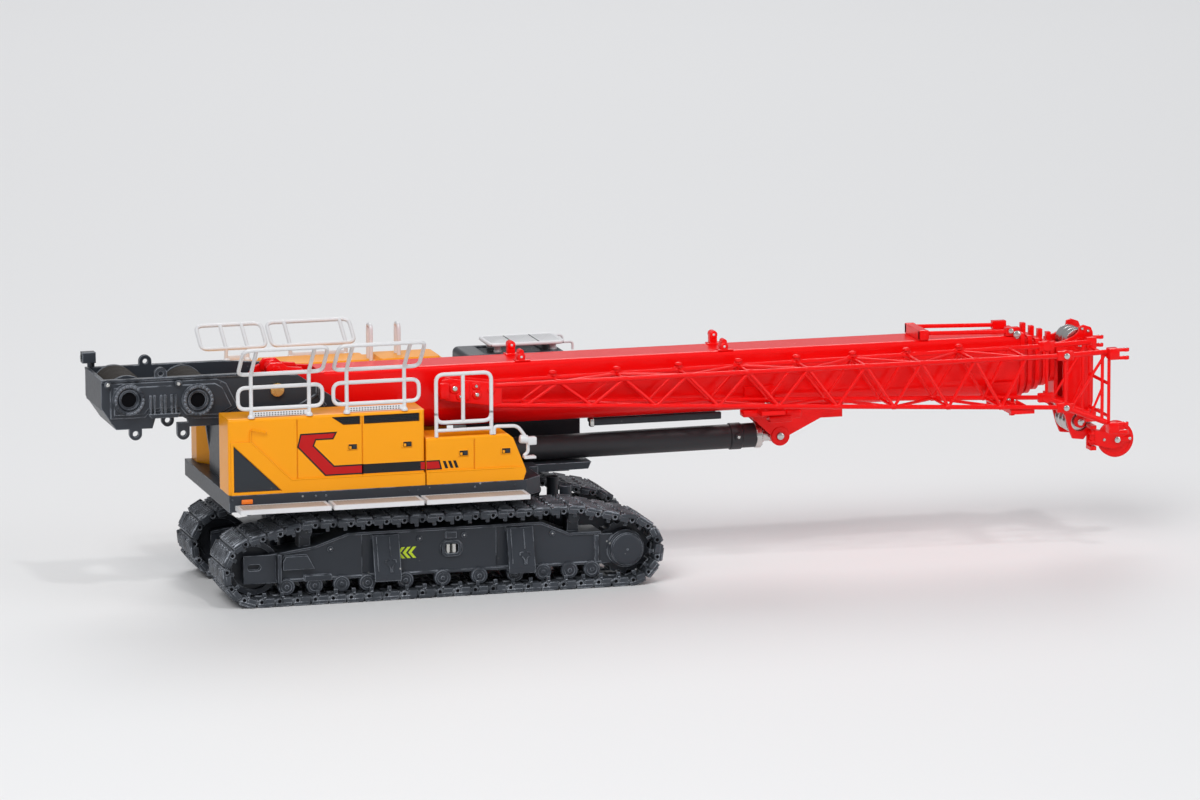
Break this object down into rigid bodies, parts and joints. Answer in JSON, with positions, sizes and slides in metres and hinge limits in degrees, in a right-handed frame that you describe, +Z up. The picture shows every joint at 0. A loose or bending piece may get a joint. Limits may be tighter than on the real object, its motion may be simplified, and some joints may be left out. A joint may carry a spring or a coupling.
{
  "type": "1:50 scale model of a telescopic-boom crawler crane",
  "caption": "Die-cast 1:50 scale model crawler crane with telescoping boom, stowed lattice jib, sliding crawlers and slewing upperworks, parked with the boom level.",
  "frame": {"origin": "on the ground under the slewing centre", "axes": "+X from the winches to the boom head, +Y to the cab side, +Z up"},
  "size_m": [0.3043, 0.073, 0.0743],
  "materials": {
    "dark_paint": "satin dark grey paint on cast metal",
    "track_metal": "dark burnished grey cast shoes",
    "yellow_paint": "glossy orange-yellow paint",
    "red_paint": "glossy bright red paint",
    "silver_paint": "silver-white paint on thin wire and sheet",
    "black_gloss": "glossy black paint",
    "bare_steel": "bright plated pins and rod",
    "brass_pin": "golden pin",
    "cab_glass": "smoked clear plastic",
    "seat_plastic": "matt black plastic"
  },
  "bodies": {
    "chassis": {"carbody": "dark_paint"},
    "track_right": {"track_frame_right": "dark_paint", "slide_beams_right": "dark_paint", "track_loop_right": "track_metal", "idler_right": "dark_paint", "sprocket_right": "dark_paint"},
    "track_left": {"track_frame_left": "dark_paint", "slide_beams_left": "dark_paint", "track_loop_left": "track_metal", "idler_left": "dark_paint", "sprocket_left": "dark_paint"},
    "upper": {"turntable": "dark_paint", "winch_frame": "dark_paint", "hood_right": "yellow_paint", "hood_right_front": "yellow_paint", "hood_left": "yellow_paint", "walkways_right": "silver_paint", "walkways_left": "silver_paint", "rails_right": "silver_paint", "rail_front_right": "silver_paint", "rails_left": "silver_paint", "rear_lamp": "dark_paint", "cab_shell": "dark_paint", "cab_glass": "cab_glass", "cab_seat": "seat_plastic", "cab_guard": "silver_paint", "boom_foot_pin": "brass_pin"},
    "drum_rear": {"winch_drum_rear": "dark_paint"},
    "drum_front": {"winch_drum_front": "dark_paint"},
    "boom_base": {"boom_section_1": "red_paint", "jib_truss_right": "red_paint", "jib_truss_left": "red_paint", "jib_cross_members": "red_paint", "jib_tip_sheaves": "red_paint", "jib_brackets": "red_paint", "boom_top_frame": "red_paint"},
    "boom_2": {"boom_section_2": "red_paint"},
    "boom_3": {"boom_section_3": "red_paint"},
    "boom_4": {"boom_section_4": "red_paint"},
    "boom_5": {"boom_section_5": "red_paint", "boom_head": "red_paint"},
    "sheave_top": {"head_sheave_top": "bare_steel"},
    "sheave_lower_front": {"head_sheave_lower_front": "bare_steel"},
    "sheave_lower_rear": {"head_sheave_lower_rear": "bare_steel"},
    "rooster_arm": {"rooster_bracket": "red_paint"},
    "rooster_wheel": {"rooster_sheave": "red_paint"},
    "ram_barrel": {"luff_barrel": "black_gloss"},
    "ram_rod": {"luff_rod": "bare_steel"}
  },
  "joints": [
    {"name": "track_right_reach", "type": "slide", "parent": "chassis", "child": "track_right", "axis": [0, -1, 0], "range_m": [0, 0.018]},
    {"name": "track_left_reach", "type": "slide", "parent": "chassis", "child": "track_left", "axis": [0, 1, 0], "range_m": [0, 0.018]},
    {"name": "slew", "type": "hinge", "parent": "chassis", "child": "upper", "pos_m": [0, 0, 0.0242], "axis": [0, 0, 1], "continuous": true},
    {"name": "drum_rear_turn", "type": "hinge", "parent": "upper", "child": "drum_rear", "pos_m": [-0.0854, 0, 0.0574], "axis": [0, 1, 0], "continuous": true},
    {"name": "drum_front_turn", "type": "hinge", "parent": "upper", "child": "drum_front", "pos_m": [-0.0659, 0, 0.0564], "axis": [0, 1, 0], "continuous": true},
    {"name": "boom_luff", "type": "hinge", "parent": "upper", "child": "boom_base", "pos_m": [-0.0431, 0, 0.0579], "axis": [0, -1, 0], "range_deg": [0, 80]},
    {"name": "ram_swing", "type": "hinge", "parent": "upper", "child": "ram_barrel", "pos_m": [0.012, 0, 0.035], "axis": [0, -1, 0], "range_deg": [0, 93]},
    {"name": "ram_stroke", "type": "slide", "parent": "ram_barrel", "child": "ram_rod", "axis": [1, 0, 0.0054], "range_m": [0, 0.073]},
    {"name": "boom_2_slide", "type": "slide", "parent": "boom_base", "child": "boom_2", "axis": [1, 0, 0], "range_m": [0, 0.16]},
    {"name": "boom_3_slide", "type": "slide", "parent": "boom_2", "child": "boom_3", "axis": [1, 0, 0], "range_m": [0, 0.16]},
    {"name": "boom_4_slide", "type": "slide", "parent": "boom_3", "child": "boom_4", "axis": [1, 0, 0], "range_m": [0, 0.16]},
    {"name": "boom_5_slide", "type": "slide", "parent": "boom_4", "child": "boom_5", "axis": [1, 0, 0], "range_m": [0, 0.16]},
    {"name": "sheave_top_turn", "type": "hinge", "parent": "boom_5", "child": "sheave_top", "pos_m": [0.1946, 0, 0.0582], "axis": [0, 1, 0], "continuous": true},
    {"name": "sheave_lower_front_turn", "type": "hinge", "parent": "boom_5", "child": "sheave_lower_front", "pos_m": [0.195, 0, 0.0352], "axis": [0, 1, 0], "continuous": true},
    {"name": "sheave_lower_rear_turn", "type": "hinge", "parent": "boom_5", "child": "sheave_lower_rear", "pos_m": [0.1912, 0, 0.04], "axis": [0, 1, 0], "continuous": true},
    {"name": "rooster_swing", "type": "hinge", "parent": "boom_5", "child": "rooster_arm", "pos_m": [0.1983, -0.008, 0.031], "axis": [0, 0, 1], "range_deg": [-90, 0]},
    {"name": "rooster_turn", "type": "hinge", "parent": "rooster_arm", "child": "rooster_wheel", "pos_m": [0.205, -0.008, 0.0301], "axis": [0, 1, 0], "continuous": true}
  ],
  "couplings": [
    {"joint": "ram_swing", "follows": "boom_luff", "ratio": 1.1527},
    {"joint": "ram_stroke", "follows": "boom_luff", "m_per_rad": 0.051577}
  ]
}
